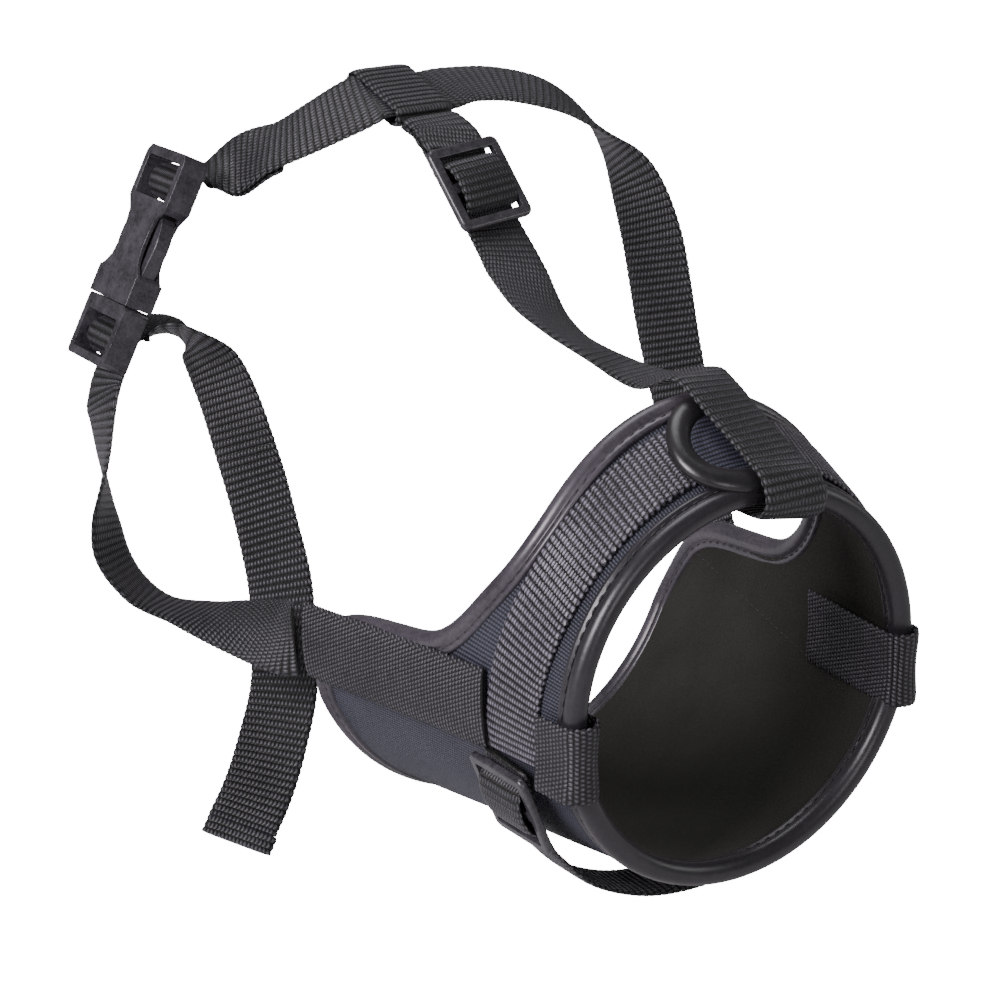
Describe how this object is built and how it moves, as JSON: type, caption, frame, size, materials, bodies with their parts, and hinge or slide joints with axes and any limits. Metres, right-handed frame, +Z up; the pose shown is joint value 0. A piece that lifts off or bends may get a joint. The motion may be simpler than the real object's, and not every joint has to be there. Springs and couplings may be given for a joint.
{
  "type": "dog muzzle",
  "caption": "Soft padded sleeve muzzle for a dog: an open-ended fabric sleeve with a webbing harness, sliders and a side-release buckle.",
  "frame": {"origin": "centre of the front opening", "axes": "+X to the dog's left, +Y back toward the dog's head, +Z up"},
  "size_m": [0.1715, 0.2174, 0.204],
  "materials": {
    "nylon": "matt woven nylon",
    "suede": "matt suede-like lining",
    "binding": "smooth satin tape",
    "band_webbing": "ribbed webbing with a slight sheen",
    "patch_fabric": "coarse grid weave",
    "strap_webbing": "ribbed polypropylene webbing",
    "black_plastic": "fine-textured moulded nylon"
  },
  "bodies": {
    "sleeve": {"outer_shell": "nylon", "lining": "suede", "rim_binding_bridge": "binding", "rim_binding_chin": "binding", "notch_binding": "binding", "lower_edge_binding": "binding", "bridge_patch_binding": "binding", "nose_band": "band_webbing", "bridge_patch": "patch_fabric", "wing_strap_right": "strap_webbing", "wing_strap_left": "strap_webbing", "side_tab_right": "strap_webbing", "side_tab_left": "strap_webbing", "forehead_strap": "strap_webbing", "forehead_strap_return": "strap_webbing", "neck_strap": "strap_webbing", "neck_strap_hem": "strap_webbing", "cheek_strap": "strap_webbing", "chin_strap": "strap_webbing", "keeper_loop": "strap_webbing", "socket_strap_wrap": "strap_webbing", "buckle_socket": "black_plastic"},
    "plug": {"buckle_plug": "black_plastic", "plug_strap_wrap": "strap_webbing"},
    "prong_f": {"prong_front": "black_plastic"},
    "prong_b": {"prong_back": "black_plastic"},
    "tail": {"strap_tail": "strap_webbing", "strap_tail_seal": "strap_webbing"},
    "top_slider": {"forehead_slider": "black_plastic", "forehead_slider_wrap": "strap_webbing"},
    "chin_slider_body": {"chin_slider": "black_plastic", "chin_slider_wrap": "strap_webbing"}
  },
  "joints": [
    {"name": "plug_slide", "type": "slide", "parent": "sleeve", "child": "plug", "axis": [-0.4675, -0.0097, -0.8839], "range_m": [0, 0.02], "deforming": ["cheek_strap"]},
    {"name": "prong_front_flex", "type": "hinge", "parent": "plug", "child": "prong_f", "pos_m": [-0.07217, 0.1858, 0.06947], "axis": [-0.8774, 0.1269, 0.4627], "range_deg": [0, 15]},
    {"name": "prong_back_flex", "type": "hinge", "parent": "plug", "child": "prong_b", "pos_m": [-0.06996, 0.20624, 0.06807], "axis": [0.8774, -0.1269, -0.4627], "range_deg": [0, 15]},
    {"name": "tail_swing", "type": "hinge", "parent": "plug", "child": "tail", "pos_m": [-0.07127, 0.19526, 0.05735], "axis": [-0.1077, -0.9919, 0.0678], "range_deg": [0, 10]},
    {"name": "forehead_slider_slide", "type": "slide", "parent": "sleeve", "child": "top_slider", "axis": [-0.1271, 0.5948, 0.7938], "range_m": [-0.003, 0.003]},
    {"name": "chin_slider_slide", "type": "slide", "parent": "sleeve", "child": "chin_slider_body", "axis": [0.3812, 0, -0.9245], "range_m": [-0.003, 0.002]}
  ],
  "couplings": [
    {"joint": "prong_front_flex", "follows": "plug_slide", "rad_per_m": 12},
    {"joint": "prong_back_flex", "follows": "plug_slide", "rad_per_m": 12}
  ]
}
